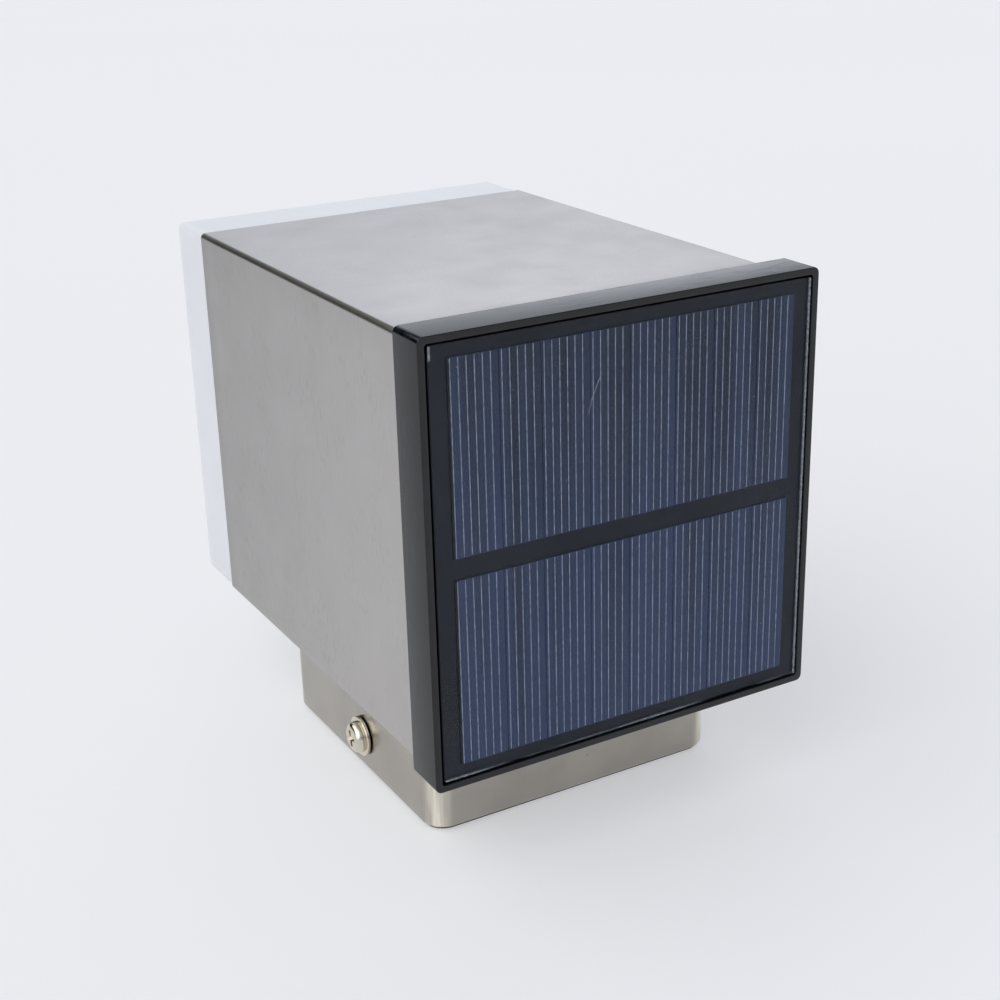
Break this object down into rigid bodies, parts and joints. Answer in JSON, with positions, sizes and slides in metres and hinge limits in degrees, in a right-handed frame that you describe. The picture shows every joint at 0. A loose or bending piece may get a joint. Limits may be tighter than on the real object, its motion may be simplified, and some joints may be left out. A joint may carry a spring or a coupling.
{
  "type": "solar wall light",
  "caption": "Square steel solar wall light with a panel on its top end, a frosted diffuser at its bottom end, and a wall box held on a wall plate by side screws.",
  "frame": {"origin": "on the wall plane, at the middle of the wall plate between the two wall screw holes", "axes": "+Z points away from the wall, -Y towards the solar head, which is the top when the light hangs, and +Y towards the diffuser at the bottom; +X is to the right seen from the solar head with the wall below"},
  "size_m": [0.1, 0.1433, 0.128],
  "materials": {
    "brushed_steel_body": "satin stainless sheet with a faint brushed grain",
    "polished_steel_box": "polished stainless steel, drawn and lightly marked",
    "plain_steel": "plain mill-finished strip",
    "rivet_aluminium": "drawn wire, plain",
    "zinc_plate": "zinc-plated, dull",
    "nickel_plate": "bright nickel plate",
    "zinc_screws": "zinc-plated, bright",
    "black_plastic_bezel": "moulded ABS, satin and a little scuffed",
    "black_rubber": "moulded rubber",
    "silicone_glue": "cured silicone bead",
    "black_board": "black glass-fibre board",
    "silicon_cell": "blue-black silicon with silver fingers",
    "clear_cover": "clear laminated film, slightly hazed",
    "potting": "cast epoxy drop",
    "grey_plastic": "moulded ABS, dark grey",
    "black_plastic_inner": "moulded, black",
    "battery_sleeve": "shrink sleeve, blue",
    "nickel_contact": "nickel-plated spring steel",
    "green_board": "solder mask, green",
    "chip_resin": "moulded epoxy",
    "capacitor_can": "drawn can",
    "nylon_connector": "moulded nylon, ivory",
    "white_nylon": "moulded nylon, white",
    "brass_terminal": "stamped, tinned ends",
    "white_plastic": "moulded ABS, white reflector",
    "white_board": "white solder mask on aluminium",
    "led_phosphor": "yellow phosphor lens",
    "opal_acrylic": "frosted opal moulding",
    "clear_silicone": "translucent silicone ring",
    "red_lead": "soft insulation, red",
    "blue_lead": "soft insulation, blue",
    "black_lead": "soft insulation, black"
  },
  "bodies": {
    "light": {"body_shell": "brushed_steel_body", "front_straps": "plain_steel", "rear_straps": "plain_steel", "wall_box": "polished_steel_box", "box_angles": "plain_steel", "box_rivets": "rivet_aluminium", "wall_gasket": "black_rubber", "wall_plate": "zinc_plate", "weld_nuts": "zinc_plate", "solar_bezel": "black_plastic_bezel", "head_seal": "black_rubber", "panel_glue": "silicone_glue", "panel_board": "black_board", "upper_cells": "silicon_cell", "lower_cells": "silicon_cell", "panel_cover": "clear_cover", "panel_junction": "potting", "bezel_screws": "zinc_screws", "chassis": "grey_plastic", "battery_holder": "black_plastic_inner", "battery_cell": "battery_sleeve", "battery_spring": "nickel_contact", "battery_contacts": "nickel_contact", "holder_screws": "zinc_screws", "control_board": "green_board", "control_chips": "chip_resin", "choke": "chip_resin", "capacitor": "capacitor_can", "connectors": "nylon_connector", "board_screws": "zinc_screws", "switch_case": "black_plastic_inner", "switch_terminals": "brass_terminal", "switch_seal": "black_rubber", "switch_screws": "zinc_screws", "led_tray": "white_plastic", "tray_screws": "zinc_screws", "led_board": "white_board", "led_chips": "led_phosphor", "led_board_screws": "zinc_screws", "diffuser": "opal_acrylic", "diffuser_seal": "clear_silicone", "panel_lead": "red_lead", "battery_lead": "blue_lead", "led_lead": "red_lead", "switch_lead": "black_lead"},
    "left_washer": {"left_clamp_washer": "nickel_plate"},
    "left_screw": {"left_clamp_screw": "nickel_plate"},
    "right_washer": {"right_clamp_washer": "nickel_plate"},
    "right_screw": {"right_clamp_screw": "nickel_plate"},
    "switch": {"switch_slider": "white_nylon"}
  },
  "joints": [
    {"name": "left_washer_slide", "type": "slide", "parent": "light", "child": "left_washer", "axis": [-1, 0, 0], "range_m": [-0.00027, 0.0056]},
    {"name": "left_screw_turn", "type": "hinge", "parent": "left_washer", "child": "left_screw", "pos_m": [-0.04, -0.003, 0.0095], "axis": [-1, 0, 0], "range_deg": [-142, 2885]},
    {"name": "right_washer_slide", "type": "slide", "parent": "light", "child": "right_washer", "axis": [1, 0, 0], "range_m": [-0.00027, 0.0056]},
    {"name": "right_screw_turn", "type": "hinge", "parent": "right_washer", "child": "right_screw", "pos_m": [0.04, -0.003, 0.0095], "axis": [1, 0, 0], "range_deg": [-142, 2885]},
    {"name": "power_switch_slide", "type": "slide", "parent": "light", "child": "switch", "axis": [1, 0, 0], "range_m": [0, 0.003]}
  ],
  "couplings": [
    {"joint": "left_screw_turn", "follows": "left_washer_slide", "rad_per_m": 8976},
    {"joint": "right_screw_turn", "follows": "right_washer_slide", "rad_per_m": 8976}
  ]
}
